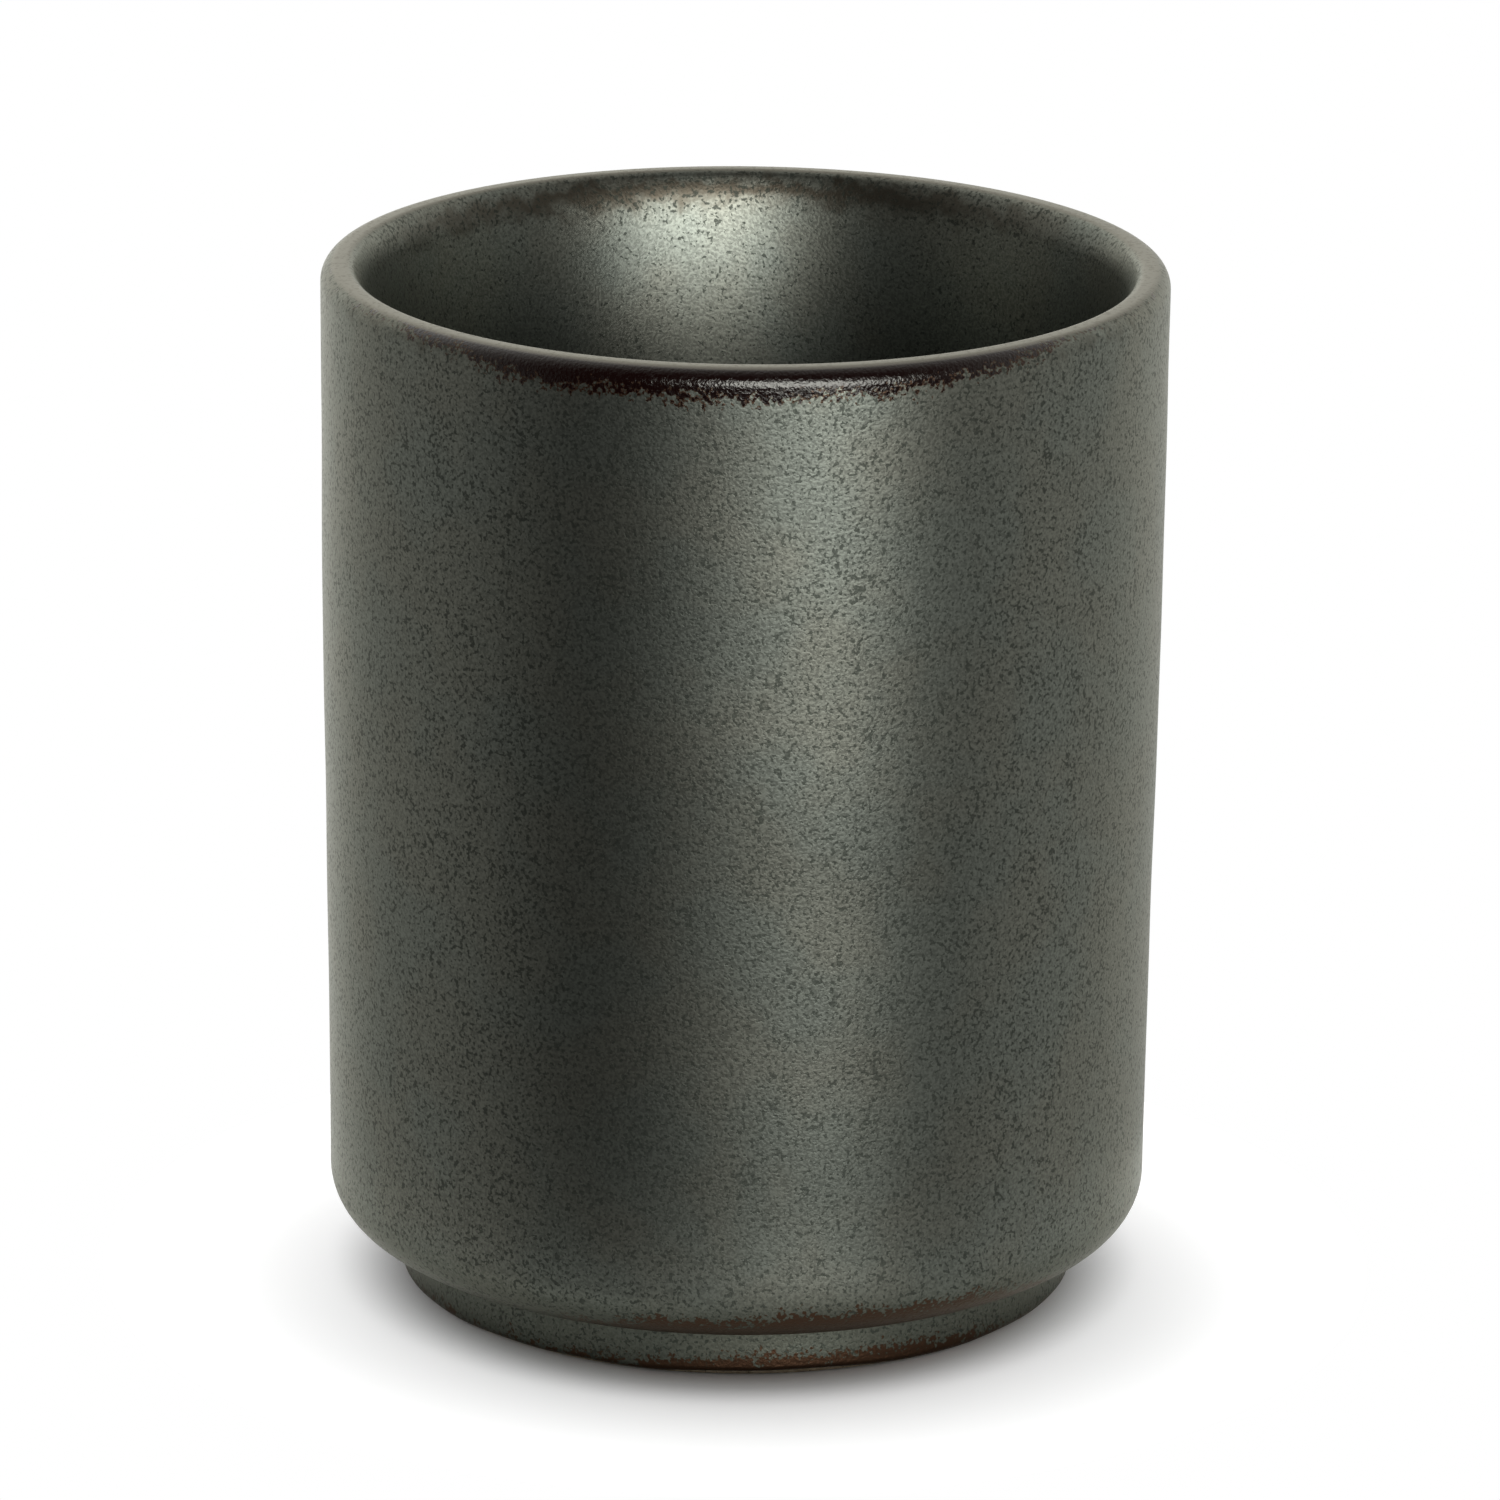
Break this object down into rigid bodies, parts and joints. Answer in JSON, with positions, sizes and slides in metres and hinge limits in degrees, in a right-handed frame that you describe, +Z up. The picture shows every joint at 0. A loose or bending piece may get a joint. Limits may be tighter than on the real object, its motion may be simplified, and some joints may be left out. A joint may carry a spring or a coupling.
{
  "type": "sake cup",
  "caption": "Straight-sided stoneware sake cup with a rounded lip, a rounded heel and a set-in foot ring, in a satin charcoal glaze that breaks to brown at the edges.",
  "frame": {"origin": "on the table, under the middle of the foot ring", "axes": "+Z up along the cup's axis, from the foot to the lip"},
  "size_m": [0.056, 0.056, 0.0698],
  "materials": {
    "bare_clay": "fired bare stoneware, matt and slightly gritty",
    "charcoal_glaze": "satin iron glaze, grey-green charcoal with fine dark specks",
    "brown_glaze": "the same glaze run thin over the lip, broken to iron brown"
  },
  "bodies": {
    "root": {"clay_body": "bare_clay", "outer_glaze": "charcoal_glaze", "lip_glaze": "brown_glaze", "inner_glaze": "charcoal_glaze", "base_glaze": "charcoal_glaze"}
  },
  "joints": []
}
